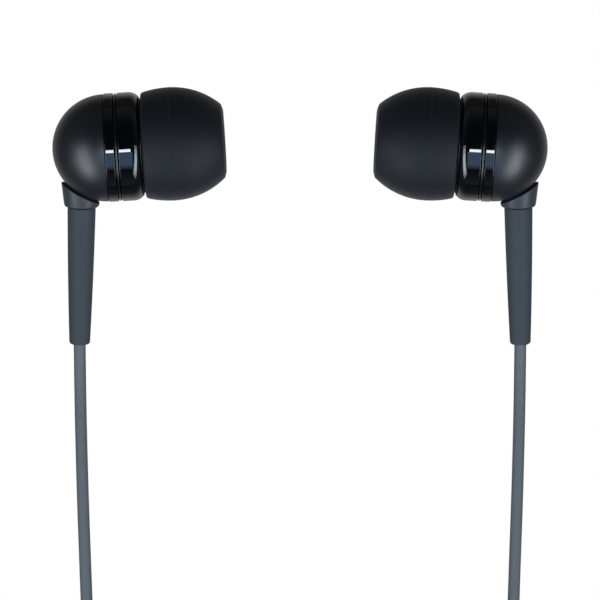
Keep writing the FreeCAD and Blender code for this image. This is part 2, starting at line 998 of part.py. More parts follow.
def build():
    nodes = {}
    exits = {}
    for name, side in (("left", -1), ("right", 1)):
        frame = earpiece_frame(side)
        for part, make in earpiece_parts.items():
            nodes[f"{name}_{part}"] = placed(make(), frame)
        exits[side] = frame.multVec(lead_frame.multVec(Vector(relief_end, 0, 0)))
    first_turn = coil_base + lead_radius
    last_turn = first_turn + 2 * lead_radius * (branch_coil_layers - 1)
    ties = []
    for name, side, route, tail, angles in (
        ("left", -1, left_route, left_tail, (180, 255, 130)),
        ("right", 1, right_route, right_tail, (0, 285, 50)),
    ):
        entry_angle, leave_angle, band_angle = angles
        centre = (side * branch_coil_centre[0], branch_coil_centre[1])
        entry = on_circle(centre, branch_coil_outer, entry_angle, first_turn)
        leave = on_circle(centre, branch_coil_outer, leave_angle, last_turn)
        out = [exits[side]] + [Vector(*p) for p in route] + [entry]
        back = [leave] + [Vector(*p) for p in tail] + [branch_entries[side]]
        nodes[f"{name}_cable"] = lead_tube(out, lead_radius)
        nodes[f"{name}_cable_coil"] = coil_solid(centre, branch_winding)
        nodes[f"{name}_cable_end"] = lead_tube(back, lead_radius)
        ties.append(coil_tie(centre, branch_winding, band_angle))
    first_turn = coil_base + main_radius
    last_turn = first_turn + 2 * main_radius * (main_coil_layers - 1)
    main_entry = on_circle(main_coil_centre, main_coil_outer, 170, first_turn)
    main_leave = on_circle(main_coil_centre, main_coil_outer, 105, last_turn)
    route = [main_exit] + [Vector(*p) for p in main_route] + [main_entry]
    nodes["main_cable"] = lead_tube(route, main_radius)
    nodes["main_cable_coil"] = coil_solid(main_coil_centre, main_winding)
    route = [main_leave] + [Vector(*p) for p in plug_route] + [plug_entry]
    nodes["main_cable_end"] = lead_tube(route, main_radius)
    ties.append(coil_tie(main_coil_centre, main_winding, tie_angle))
    nodes["coil_ties"] = Part.makeCompound(ties)
    nodes["cable_splitter"] = cable_splitter()
    nodes["plug_grip"] = plug_grip()
    nodes["plug_strain_relief"] = plug_relief()
    nodes["plug_cable_core"] = plug_cable_core()
    nodes["jack_sleeve"] = jack_sleeve()
    nodes["jack_ring"] = jack_ring()
    nodes["jack_tip"] = jack_tip()
    nodes["jack_insulators"] = jack_insulators()
    return nodes


os.makedirs("parts", exist_ok=True)
for node, shape in build().items():
    if not (shape.isValid() and shape.Solids and shape.Volume > 0):
        raise ValueError(f"{node} is not a sound solid")
    shape.exportStep(f"parts/{node}.step")
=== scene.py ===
"""Wired in-ear earphones lying on a table: finished surfaces, leads, materials, light and camera over
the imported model. Earpieces and leads are set out in millimetres. The camera, the lights, the table and
the glow's distances are in metres."""

import json
import math

import bmesh
import bpy
import numpy as np
from mathutils import Matrix


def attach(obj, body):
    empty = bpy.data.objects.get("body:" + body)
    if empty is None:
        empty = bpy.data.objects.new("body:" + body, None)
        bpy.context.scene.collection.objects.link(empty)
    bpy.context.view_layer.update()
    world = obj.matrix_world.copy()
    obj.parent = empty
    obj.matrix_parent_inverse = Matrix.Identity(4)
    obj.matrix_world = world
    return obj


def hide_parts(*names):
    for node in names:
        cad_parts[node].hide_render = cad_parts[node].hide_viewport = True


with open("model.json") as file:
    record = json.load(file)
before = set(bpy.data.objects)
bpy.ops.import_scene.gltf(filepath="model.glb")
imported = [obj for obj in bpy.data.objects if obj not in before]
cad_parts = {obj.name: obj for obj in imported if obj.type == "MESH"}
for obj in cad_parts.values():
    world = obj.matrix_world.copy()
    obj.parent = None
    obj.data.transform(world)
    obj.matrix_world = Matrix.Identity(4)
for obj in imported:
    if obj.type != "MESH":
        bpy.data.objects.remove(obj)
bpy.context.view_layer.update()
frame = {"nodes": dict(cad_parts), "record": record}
nodes = frame["nodes"]
SIDES = {"left": -1, "right": 1}
MM = 0.001


# --------------------------------------------------------------------------------------------------
# Where an earpiece and its lead are

dome_mm = 5.9
trim_mm = 5.97
table_mm = 6.275
earpiece_mm = (21.31, 7.54)
earpiece_turn = 3.4
lead_axis_mm = -2.6
lead_lean = math.radians(4.7)
relief_end_mm = 21.9
relief_end_height_mm = 1.75
earpiece_roll = math.asin(
    (table_mm - relief_end_height_mm) / (relief_end_mm * math.cos(lead_lean))
)


def turn_about(axis, angle):
    """The 3 by 3 matrix that turns by an angle in radians about one of the axes, 0, 1 or 2."""
    c, s = math.cos(angle), math.sin(angle)
    matrix = np.eye(3)
    i, j = [(1, 2), (2, 0), (0, 1)][axis]
    matrix[i, i], matrix[i, j], matrix[j, i], matrix[j, j] = c, -s, s, c
    return matrix


def earpiece_place(side):
    """An earpiece's turn and place: x along its axis towards the ear, y away from its lead."""
    flip = turn_about(1, 0 if side < 0 else math.pi)
    roll = turn_about(0, earpiece_roll)
    turn = turn_about(2, math.radians(-side * earpiece_turn))
    return turn @ roll @ flip, np.array([side * earpiece_mm[0], earpiece_mm[1], table_mm])


def lead_place(side):
    """The same for the lead's axis inside the collar and the strain relief: x runs along the lead."""
    rotation, origin = earpiece_place(side)
    along = np.array([-math.sin(lead_lean), -math.cos(lead_lean), 0])
    across = np.array([math.cos(lead_lean), -math.sin(lead_lean), 0])
    local = np.column_stack([along, across, np.cross(along, across)])
    return rotation @ local, origin + rotation @ np.array([lead_axis_mm, 0, 0])


plug_heading = math.radians(198.5)
plug_corner_mm = np.array([-22.3, -92.1, 3.03])
plug_place = (turn_about(2, plug_heading), plug_corner_mm)
jack_heading = plug_heading + math.pi / 2


# --------------------------------------------------------------------------------------------------
# Surfaces


def add_mesh(name, points, faces, body, replaces=()):
    """A smooth piece from points in metres and faces, riding on a body and standing for CAD nodes."""
    mesh = bpy.data.meshes.new(name)
    mesh.from_pydata(points.tolist(), [], faces.tolist())
    mesh.validate()
    mesh.shade_smooth()
    piece = bpy.data.objects.new(name, mesh)
    bpy.context.scene.collection.objects.link(piece)
    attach(piece, body)
    if replaces:
        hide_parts(*replaces)
    return piece


def grid_faces(rows, columns, wrap_rows, wrap_columns):
    """The quads of a grid of points in row order, closed round in either direction."""
    row = np.arange(rows if wrap_rows else rows - 1)
    column = np.arange(columns if wrap_columns else columns - 1)
    r, c = np.meshgrid(row, column, indexing="ij")
    near = r * columns
    far = (r + 1) % rows * columns
    side = (c + 1) % columns
    return np.stack([near + c, near + side, far + side, far + c], -1).reshape(-1, 4)


def arc(centre, radius, start, stop, count=9):
    """Points of an arc in the (along, radius) plane, its angles in degrees from the along direction."""
    angle = np.radians(np.linspace(start, stop, count))
    return np.column_stack(
        [centre[0] + radius * np.cos(angle), centre[1] + radius * np.sin(angle)]
    )


def bulge(peak, end, count=24):
    """Points of an arc that leaves its peak level and falls to its end, both (along, radius)."""
    run, drop = abs(end[0] - peak[0]), peak[1] - end[1]
    radius = (run**2 + drop**2) / (2 * drop)
    step = np.sin(np.linspace(0, math.asin(min(1, run / radius)), count)) * radius
    along = peak[0] + math.copysign(1, end[0] - peak[0]) * step
    return np.column_stack([along, peak[1] - radius + np.sqrt(radius**2 - step**2)])


def outline(*stretches):
    """One closed outline of (along, radius) points. A stretch is an array of points, or a corner (along,
    radius, rounding) whose rounding is an arc tangent to the lines to its neighbours."""
    arrays = [len(np.shape(stretch)) > 1 for stretch in stretches]
    lines = [
        np.atleast_2d(np.array(stretch if whole else stretch[:2], float))
        for stretch, whole in zip(stretches, arrays)
    ]
    points = []
    for i, stretch in enumerate(stretches):
        if arrays[i] or len(stretch) == 2 or stretch[2] == 0:
            points.append(lines[i])
        else:
            before, after = lines[i - 1][-1], lines[(i + 1) % len(lines)][0]
            points.append(round_corner(before, lines[i][0], after, stretch[2]))
    return np.concatenate(points)


def round_corner(before, corner, after, radius, count=6):
    """Points of the arc of a radius that touches both lines that meet at a corner."""
    inward = (before - corner) / np.linalg.norm(before - corner)
    outward = (after - corner) / np.linalg.norm(after - corner)
    half = math.acos(np.clip(inward @ outward, -1, 1)) / 2
    bisector = (inward + outward) / np.linalg.norm(inward + outward)
    centre = corner + bisector * radius / math.sin(half)
    spread = math.pi / 2 - half
    angle = np.linspace(-spread, spread, count)[:, None]
    square = outward - inward
    square = square / np.linalg.norm(square)
    return centre + radius * (-bisector * np.cos(angle) + square * np.sin(angle))


def held_edges(points, hold=0.02):
    """The outline with two more points near the ends of each long side, so that shading stays flat on it."""
    following = np.roll(points, -1, 0)
    run = np.linalg.norm(following - points, axis=1)[:, None]
    step = (following - points) / np.maximum(run, hold) * hold
    rows = np.stack([points, points + step, following - step], 1)
    kept = np.ones(rows.shape[:2], bool)
    kept[:, 1:] = run > 8 * hold
    return rows[kept]


def lathe(name, place, profile, body, replaces=(), turns=160):
    """A closed outline of (along, radius) in millimetres, turned round the along axis of a place."""
    rotation, origin = place
    profile = held_edges(profile)
    angle = np.arange(turns) * 2 * math.pi / turns
    along, radius = profile[:, 0][:, None], np.maximum(profile[:, 1], 0)[:, None]
    local = np.stack(
        [along + 0 * angle, radius * np.cos(angle), radius * np.sin(angle)], -1
    )
    points = (local.reshape(-1, 3) @ rotation.T + origin) * MM
    faces = grid_faces(len(profile), turns, True, True)
    following = np.roll(profile, -1, 0)
    area = profile[:, 0] @ following[:, 1] - profile[:, 1] @ following[:, 0]
    if area > 0:
        faces = faces[:, ::-1]
    piece = add_mesh(name, points, faces, body, replaces)
    merge_poles(piece)
    return piece


def merge_poles(piece):
    """Joins the points that lie on one another, as where an outline meets its axis."""
    work = bmesh.new()
    work.from_mesh(piece.data)
    bmesh.ops.remove_doubles(work, verts=work.verts, dist=1e-8)
    bmesh.ops.dissolve_degenerate(work, edges=work.edges, dist=1e-9)
    work.to_mesh(piece.data)
    work.free()
    piece.data.shade_smooth()


# --------------------------------------------------------------------------------------------------
# Leads: one smooth line each, from the strain relief through its coil to what is on its end

lead_mm = 0.665
main_mm = 1.0
lead_floor = lead_mm + 0.03
main_floor = main_mm + 0.03
coil_base = 0.3
splitter_level = 1.33
turn_points = 24
climb_share = 0.09
branch_coil_mm = (14.5, -54.0)
branch_coil_sweep = 6 * 360 + 75
main_coil_mm = (10.0, -96.5)
main_coil_sweep = 12 * 360 - 65


def coil_points(centre, inner, outer, layers, radius, start, sweep):
    """Points of a neat coil of several layers, from its outer edge on the lowest one to its outer edge on the
    highest: the radius runs in and out once in two layers, and the height steps up where it turns back."""
    count = int(abs(sweep) / 360 * turn_points) + 1
    share = np.linspace(0, 1, count)
    angle = np.radians(start + sweep * share)
    layer = share * layers
    reach = inner + (outer - inner) * np.abs(1 - layer % 2)
    step = climb_share * layers / 2
    whole = np.floor(layer + step)
    ease = np.clip((layer + step - whole) / (2 * step), 0, 1)
    lift = np.where(whole < 1, 0, whole - 1 + ease * ease * (3 - 2 * ease))
    height = coil_base + radius + 2 * radius * np.minimum(lift, layers - 1)
    return np.column_stack(
        [centre[0] + reach * np.cos(angle), centre[1] + reach * np.sin(angle), height]
    )


def lead_curve(name, points_mm, radius_mm, replaces):
    """A round lead whose centre line is one smooth spline. Its points carry its radius, which the bevel's
    depth of 1 leaves as it is, because the box of a curve grows by the radius of its points."""
    curve = bpy.data.curves.new(name, "CURVE")
    curve.dimensions = "3D"
    spline = curve.splines.new("NURBS")
    spline.points.add(len(points_mm) - 1)
    rows = np.column_stack([np.array(points_mm) * MM, np.ones(len(points_mm))])
    spline.points.foreach_set("co", rows.ravel())
    spline.points.foreach_set("radius", np.full(len(points_mm), radius_mm * MM))
    spline.order_u = 3
    spline.use_endpoint_u = True
    spline.resolution_u = 6
    curve.bevel_depth = 1.0
    curve.bevel_resolution = 5
    curve.use_fill_caps = True
    piece = bpy.data.objects.new(name, curve)
    bpy.context.scene.collection.objects.link(piece)
    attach(piece, "headset")
    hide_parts(*replaces)
    return piece


left_route = [
    (-24.42, -19.0, lead_floor + 0.1),
    (-24.3, -25.0, lead_floor),
    (-24.12, -31.5, lead_floor),
    (-23.85, -38.9, lead_floor),
    (-23.55, -46.8, lead_floor),
]
right_route = [
    (24.42, -19.0, lead_floor + 0.1),
    (24.3, -25.0, lead_floor),
    (24.12, -31.5, lead_floor),
    (23.85, -38.9, lead_floor),
    (23.6, -46.8, lead_floor),
]
left_tail = [
    (-12.4, -63.9, 1.3),
    (-7.8, -65.6, lead_floor),
    (-5.2, -67.8, lead_floor + 0.2),
    (-3.8, -70.9, splitter_level - 0.1),
    (-3.8, -74.2, splitter_level),
]
right_tail = [
    (12.3, -63.8, 1.3),
    (7.6, -64.3, lead_floor),
    (3.1, -65.4, lead_floor),
    (0.2, -67.5, lead_floor + 0.2),
    (-1.4, -70.7, splitter_level - 0.1),
    (-1.4, -74.2, splitter_level),
]
main_route = [
    (-2.6, -83.7, splitter_level),
    (-2.6, -87.0, splitter_level - 0.1),
    (-2.95, -90.5, main_floor),
]
plug_route = [
    (3.2, -83.8, 7.25),
    (0.0, -84.8, 6.2),
    (-2.7, -85.6, 4.15),
    (-5.9, -86.6, 3.05),
]
plug_relief_end = -14.0


def relief_exit(side):
    """Where a branch lead leaves its strain relief, in millimetres."""
    rotation, origin = lead_place(side)
    return origin + rotation @ np.array([relief_end_mm, 0, 0])


def add_leads():
    """The two branch leads and the main lead, each with what is on it."""
    leads = {}
    for name, route, tail, start, sweep in (
        ("left", left_route, left_tail, 180, branch_coil_sweep),
        ("right", right_route, right_tail, 0, -branch_coil_sweep),
    ):
        side = SIDES[name]
        centre = (side * branch_coil_mm[0], branch_coil_mm[1])
        turns = coil_points(centre, 5.0, 9.2, 2, lead_mm, start, sweep)
        points = np.vstack([relief_exit(side), route, turns, tail])
        parts = [f"{name}_cable", f"{name}_cable_coil", f"{name}_cable_end"]
        lead = lead_curve(f"{name}_lead", points, lead_mm, parts)
        tuple(relief_exit(side) * MM)
        leads[name] = lead
    turns = coil_points(main_coil_mm, 8.0, 14.0, 4, main_mm, 170, main_coil_sweep)
    rotation, origin = plug_place
    entry = origin + rotation @ np.array([plug_relief_end, 0, 0])
    points = np.vstack([main_route, turns, plug_route, entry])
    parts = ["main_cable", "main_cable_coil", "main_cable_end"]
    lead = lead_curve("main_lead", points, main_mm, parts)
    leads["main"] = lead
    return leads


# --------------------------------------------------------------------------------------------------
# Camera

camera_height = 0.5
camera_aim_y = -0.00919
camera_lens = 273.0


def add_camera():
    """A long lens looking straight down."""
    camera = bpy.data.cameras.new("camera")
    camera.lens = camera_lens
    camera.sensor_width = 36.0
    camera.clip_start = 0.01
    camera.clip_end = 5.0
    holder = bpy.data.objects.new("camera", camera)
    holder.location = (0, camera_aim_y, camera_height + table_mm * MM)
    bpy.context.scene.collection.objects.link(holder)
    bpy.context.scene.camera = holder


# --------------------------------------------------------------------------------------------------
# Materials


class Graph:
    """Adds nodes to a tree: a socket given as an input is joined to it, and anything else is its value."""

    def __init__(self, tree):
        self.tree = tree

    def add(self, kind, inputs=None, **settings):
        """A node with its settings and inputs."""
        made = self.tree.nodes.new(kind)
        for key, value in settings.items():
            setattr(made, key, value)
        for key, value in (inputs or {}).items():
            if isinstance(value, bpy.types.NodeSocket):
                self.tree.links.new(value, made.inputs[key])
            else:
                made.inputs[key].default_value = value
        return made

    def maths(self, operation, *values, clamp=False):
        """One step of arithmetic."""
        made = self.add("ShaderNodeMath", dict(enumerate(values)), operation=operation)
        made.use_clamp = clamp
        return made.outputs[0]

    def spread(self, value, low, high, low_to=0.0, high_to=1.0):
        """A value's stretch from low to high, carried to another stretch."""
        inputs = {
            "Value": value,
            "From Min": low,
            "From Max": high,
            "To Min": low_to,
            "To Max": high_to,
        }
        return self.add("ShaderNodeMapRange", inputs).outputs["Result"]

    def between(self, share, first, second):
        """A colour between two colours: a mix node's inputs 6 and 7 and its output 2 are its colours."""
        inputs = {0: share, 6: first, 7: second}
        return self.add("ShaderNodeMix", inputs, data_type="RGBA").outputs[2]

    def group(self, tree, **inputs):
        """The outputs of a node group placed with its inputs."""
        return self.add("ShaderNodeGroup", inputs, node_tree=tree).outputs

    def join(self, shader, base, roughness, height, depth_mm):
        """Joins a base colour, a roughness and a bump of a depth to a shader."""
        bump = self.add("ShaderNodeBump", {"Height": height, "Distance": depth_mm * MM})
        self.tree.links.new(base, shader.inputs["Base Color"])
        self.tree.links.new(roughness, shader.inputs["Roughness"])
        self.tree.links.new(bump.outputs[0], shader.inputs["Normal"])


def new_group(name, inputs, outputs):
    """An empty node group with named sockets, its graph, and its input sockets."""
    tree = bpy.data.node_groups.new(name, "ShaderNodeTree")
    for socket, kind in inputs.items():
        tree.interface.new_socket(socket, in_out="INPUT", socket_type=kind)
    for socket in outputs:
        tree.interface.new_socket(socket, in_out="OUTPUT", socket_type="NodeSocketFloat")
    graph = Graph(tree)
    return tree, graph, graph.add("NodeGroupInput").outputs


def grain_group():
    """Moulded grain: an even fine noise with a finer one on it. Mask is for colour, Height for bump."""
    inputs = {"Vector": "NodeSocketVector", "Scale": "NodeSocketFloat"}
    tree, graph, given = new_group("moulded_grain", inputs, ["Mask", "Height"])
    coarse = graph.add(
        "ShaderNodeTexNoise",
        {"Vector": given["Vector"], "Scale": given["Scale"], "Detail": 3.0},
    ).outputs["Fac"]
    finer = graph.maths("MULTIPLY", given["Scale"], 3.7)
    fine = graph.add(
        "ShaderNodeTexNoise",
        {"Vector": given["Vector"], "Scale": finer, "Detail": 1.0},
    ).outputs["Fac"]
    height = graph.maths("MULTIPLY_ADD", fine, 0.35, coarse)
    mask = graph.spread(coarse, 0.3, 0.7)
    graph.add("NodeGroupOutput", {"Mask": mask, "Height": height})
    return tree


def handling_group():
    """Marks of handling: broad faint smudges, and a few specks of dust a tenth of a millimetre across."""
    inputs = {"Vector": "NodeSocketVector", "Amount": "NodeSocketFloat"}
    tree, graph, given = new_group("handling_marks", inputs, ["Smudge", "Dust"])
    broad = graph.add(
        "ShaderNodeTexNoise",
        {"Vector": given["Vector"], "Scale": 420.0, "Detail": 4.0, "Distortion": 0.6},
    ).outputs["Fac"]
    smudge = graph.maths("MULTIPLY", graph.spread(broad, 0.42, 0.72), given["Amount"])
    cells = graph.add(
        "ShaderNodeTexVoronoi", {"Vector": given["Vector"], "Scale": 1500.0}
    )
    near = graph.spread(cells.outputs["Distance"], 0.1, 0.05)
    rare = graph.add("ShaderNodeSeparateColor", {"Color": cells.outputs["Color"]})
    chosen = graph.spread(rare.outputs[0], 0.93, 0.95)
    dust = graph.maths("MULTIPLY", near, chosen)
    dust = graph.maths("MULTIPLY", dust, given["Amount"], clamp=True)
    graph.add("NodeGroupOutput", {"Smudge": smudge, "Dust": dust})
    return tree


def lines_group():
    """Fine lines left by turning: a noise that changes only along the axis, given as the vector's x."""
    inputs = {"Vector": "NodeSocketVector", "Scale": "NodeSocketFloat"}
    tree, graph, given = new_group("turned_lines", inputs, ["Height"])
    drawn = graph.add(
        "ShaderNodeMapping", {"Vector": given["Vector"], "Scale": (1.0, 0.03, 0.03)}
    ).outputs[0]
    noise = graph.add(
        "ShaderNodeTexNoise",
        {"Vector": drawn, "Scale": given["Scale"], "Detail": 2.0},
    ).outputs["Fac"]
    graph.add("NodeGroupOutput", {"Height": noise})
    return tree


metal_grain = 9000.0
grain = grain_group()
handling = handling_group()
turned_lines = lines_group()


def new_material(name, **sockets):
    """A material with a Principled BSDF whose plain sockets have these values."""
    material = bpy.data.materials.new(name)
    material.use_nodes = True
    graph = Graph(material.node_tree)
    shader = material.node_tree.nodes["Principled BSDF"]
    for key, value in sockets.items():
        shader.inputs[key.replace("_", " ")].default_value = value
    return material, graph, shader


def moulded(name, dark, light, smooth, rough, grain_mm, depth_mm, marks=0.3, **sockets):
    """A moulded finish: grain gives a little colour, roughness and bump, and handling adds smudges and
    dust."""
    material, graph, shader = new_material(name, **sockets)
    place = graph.add("ShaderNodeTexCoord").outputs["Object"]
    surface = graph.group(grain, Vector=place, Scale=1 / (grain_mm * MM))
    used = graph.group(handling, Vector=place, Amount=marks)
    base = graph.between(surface["Mask"], (*dark, 1), (*light, 1))
    dusty = tuple(0.5 * channel + 0.08 for channel in light)
    base = graph.between(used["Dust"], base, (*dusty, 1))
    polish = graph.spread(surface["Mask"], 0.0, 1.0, smooth, rough)
    polish = graph.maths("MULTIPLY_ADD", used["Smudge"], 0.12, polish, clamp=True)
    graph.join(shader, base, polish, surface["Height"], depth_mm)
    return material


def metal(name, colour, roughness, axis=None, depth_mm=0.002, **sockets):
    """A plated metal: smudges in its roughness, and a fine grain, or lines round an axis that it was turned
    on, given as a point in millimetres and a heading."""
    material, graph, shader = new_material(name, Metallic=1.0, **sockets)
    place = graph.add("ShaderNodeTexCoord").outputs["Object"]
    used = graph.group(handling, Vector=place, Amount=0.6)
    tarnish = tuple(channel * 0.8 for channel in colour)
    base = graph.between(used["Smudge"], (*colour, 1), (*tarnish, 1))
    polish = graph.maths("MULTIPLY_ADD", used["Smudge"], 0.15, roughness, clamp=True)
    if axis:
        centre, heading = axis
        place = graph.add(
            "ShaderNodeMapping",
            {"Vector": place, "Location": tuple(centre * MM), "Rotation": (0, 0, heading)},
            vector_type="TEXTURE",
        ).outputs[0]
    lines = graph.group(turned_lines if axis else grain, Vector=place, Scale=metal_grain)
    graph.join(shader, base, polish, lines["Height"], depth_mm)
    return material


def winding():
    """Enamelled copper wire wound round the coil: rows of round turns along its axis, with painted shade in
    the grooves between them.
    """
    material, graph, shader = new_material("copper_winding", Metallic=1.0)
    place = graph.add("ShaderNodeTexCoord").outputs["Object"]
    rows = graph.add(
        "ShaderNodeTexWave",
        {"Vector": place, "Scale": 2600.0, "Distortion": 0.0},
        bands_direction="X",
    )
    # painted shade: the colour follows the bump's height and is darker in the grooves between the turns
    base = graph.between(rows.outputs["Fac"], (0.25, 0.06, 0.02, 1), (0.85, 0.36, 0.16, 1))
    graph.tree.links.new(base, shader.inputs["Base Color"])
    shader.inputs["Roughness"].default_value = 0.28
    bump = graph.add(
        "ShaderNodeBump", {"Height": rows.outputs["Fac"], "Distance": 0.02 * MM}
    )
    graph.tree.links.new(bump.outputs[0], shader.inputs["Normal"])
    return material


def make_finishes():
    """Every finish by the slot that it belongs to."""
    return {
        "housing": moulded(
            "satin_housing", (0.003, 0.0038, 0.0058), (0.005, 0.0062, 0.009),
            0.35, 0.42, 0.12, 0.0035,
        ),
        "trim": moulded(
            "polished_trim", (0.0012, 0.0014, 0.0022), (0.0016, 0.0018, 0.0028),
            0.03, 0.05, 0.5, 0.0002, marks=0.15,
        ),
        "divider": moulded(
            "polished_divider", (0.003, 0.0032, 0.004), (0.005, 0.0053, 0.006), 0.16, 0.22, 0.1, 0.0006,
        ),
        "silicone": moulded(
            "soft_silicone", (0.0032, 0.0042, 0.0062), (0.0054, 0.0068, 0.0098),
            0.54, 0.63, 0.16, 0.003, Specular_IOR_Level=0.21, Sheen_Weight=0.1, Sheen_Roughness=0.4,
        ),
        "collar": moulded(
            "semi_gloss_collar", (0.022, 0.025, 0.031), (0.028, 0.032, 0.039),
            0.42, 0.5, 0.15, 0.001, Specular_IOR_Level=0.3,
        ),
        "relief": moulded(
            "rubber_relief", (0.0275, 0.0325, 0.038), (0.036, 0.0425, 0.05),
            0.66, 0.76, 0.1, 0.0007, Specular_IOR_Level=0.25,
        ),
        "lead": moulded(
            "lead_jacket", (0.076, 0.083, 0.091), (0.09, 0.098, 0.107), 0.55, 0.65, 0.12, 0.0009,
            Specular_IOR_Level=0.3,
        ),
        "screen": metal("woven_steel", (0.42, 0.42, 0.43), 0.3),
        "steel": metal("plated_steel", (0.55, 0.55, 0.56), 0.26),
        "magnet": metal("nickel_plating", (0.62, 0.61, 0.58), 0.14),
        "copper": winding(),
        "film": moulded(
            "clear_film", (0.45, 0.45, 0.4), (0.52, 0.52, 0.47), 0.12, 0.2, 0.6, 0.001,
            marks=0.0, Alpha=0.55,
        ),
        "driver_plastic": moulded(
            "basket_plastic", (0.03, 0.03, 0.032), (0.045, 0.045, 0.048), 0.4, 0.5, 0.15, 0.003,
        ),
        "paper": moulded(
            "filter_paper", (0.68, 0.66, 0.6), (0.82, 0.8, 0.75), 0.85, 0.95, 0.07, 0.02,
        ),
        "board": moulded(
            "green_board", (0.01, 0.1, 0.03), (0.015, 0.14, 0.045), 0.3, 0.4, 0.25, 0.004,
        ),
        "tie": moulded(
            "band_rubber", (0.008, 0.008, 0.009), (0.014, 0.014, 0.015), 0.55, 0.65, 0.12, 0.006,
        ),
        "jack": metal(
            "gold_plating", (0.94, 0.7, 0.3), 0.12,
            axis=(plug_corner_mm, jack_heading), depth_mm=0.0008,
        ),
        "insulator": moulded(
            "black_insulator", (0.006, 0.006, 0.006), (0.01, 0.01, 0.01), 0.2, 0.3, 0.2, 0.001,
        ),
    }


finishes = make_finishes()


def finish(piece, slot):
    """Gives a piece the finish of one of the record's slots."""
    if piece.material_slots:
        for place in piece.material_slots:
            place.material = finishes[slot]
    else:
        piece.data.materials.append(finishes[slot])


# --------------------------------------------------------------------------------------------------
# Earpiece pieces, each an outline turned about the earpiece's axis or its lead's axis

trim_bore_mm = 5.27
skirt_mm = 5.24
dome_wall = 0.75
spigot_end = 0.95
spigot_bore = 4.49
divider_x = 1.08
front_trim_x = 1.52
front_x = 3.9
tip_x = 4.1
tip_peak_x = 7.21
tip_end_x = 13.08
tip_core_x = 5.15
core_bore_mm = 2.13
barb_x = 9.06
nozzle_end_x = 10.06
relief_start = 6.46
collar_end = 6.3775
collar_mm = 1.92
collar_bore = 1.09
collar_gap = 0.24
collar_rounding = 0.2


def dome_outline():
    """The dome's outside is half a ball; a spigot behind its rim holds the trim rings."""
    outside = arc((0, 0), dome_mm, 180, 91, 40)
    inside = arc((0, 0), dome_mm - dome_wall, 94, 180, 30)
    return outline(
        outside, (0, dome_mm, 0.06), (0, skirt_mm, 0), (spigot_end, skirt_mm, 0.05),
        (spigot_end, spigot_bore, 0), (0, spigot_bore, 0), inside,
    )


def rear_trim_outline():
    """A narrow ring with both edges just broken."""
    return outline(
        (0.06, trim_bore_mm), (0.06, trim_mm, 0.09),
        (divider_x, trim_mm, 0.07), (divider_x, trim_bore_mm),
    )


def divider_outline():
    """A sunk band with a thin round-topped fin round its middle."""
    floor = trim_mm - 0.26
    half = 0.13
    middle = (divider_x + front_trim_x) / 2
    fin = arc((middle, trim_mm - 0.05 - half), half, 180, 0, 9)
    return outline(
        (divider_x, trim_bore_mm), (divider_x, floor), (middle - half, floor), fin,
        (middle + half, floor), (front_trim_x, floor), (front_trim_x, trim_bore_mm),
    )


def front_trim_outline():
    """The wide ring: straight, then a shoulder that falls away to the front in an arc."""
    shoulder = bulge((front_x - 1.16, trim_mm), (front_x - 0.02, trim_mm - 0.53), 24)
    return outline(
        (front_trim_x, trim_bore_mm), (front_trim_x, trim_mm, 0.07), shoulder,
        (front_x, trim_mm - 0.56), (front_x, trim_bore_mm),
    )


def tip_outline():
    """The ear tip: an umbrella of two arcs, with a fine ridge round its widest place where the halves of
    its mould met, on a core with a groove inside."""
    widest, wall, ridge = table_mm, 0.45, 0.045
    rim = widest - 0.5
    back = bulge((tip_peak_x - ridge, widest - ridge), (tip_x + 0.24, rim + 0.08), 32)[::-1]
    front = bulge((tip_peak_x + ridge, widest - ridge), (tip_end_x - 0.3, 4.14), 40)
    seam = arc((tip_peak_x, widest - ridge), ridge, 165, 15, 9)
    inner_front = bulge((tip_peak_x, widest - wall), (tip_end_x - 1.95, 4.43), 16)[::-1]
    inner_back = bulge((tip_peak_x, widest - wall), (tip_x + 0.02, rim - wall + 0.01), 16)
    return outline(
        (tip_x, rim - wall, 0.01), (tip_x, rim, 0.35), back, seam, front,
        (tip_end_x - 0.18, 4.0, 0.15),
        (tip_end_x, 3.4, 0.2), (tip_end_x, 1.9, 0.2), (nozzle_end_x + 0.03, 1.9, 0.05),
        (nozzle_end_x + 0.03, 2.53), (barb_x - 0.03, 2.53), (barb_x - 0.03, core_bore_mm),
        (tip_core_x, core_bore_mm, 0.06), (tip_core_x, 3.03, 0.2), (tip_end_x - 1.5, 3.03, 0.25),
        (tip_end_x - 1.5, 3.6, 0.3), inner_front, inner_back,
    )


def relief_outline():
    """The strain relief: a neck, then a long taper that stands a little proud of a straight line, as a share
    along it times what is left, and a rounded end."""
    root, end, proud, neck, bore = 1.555, 1.14, 0.05, 1.05, lead_mm + 0.01
    share = np.linspace(0.01, 0.97, 40)
    radius = root + (end - root) * share + 4 * proud * share * (1 - share)
    taper = np.column_stack([relief_start + share * (relief_end_mm - relief_start), radius])
    return outline(
        (relief_start - 0.9, bore), (relief_start - 0.9, neck, 0.1), (relief_start, neck),
        (relief_start, root, 0.1), taper, (relief_end_mm, end, 0.3), (relief_end_mm, bore, 0.02),
    )


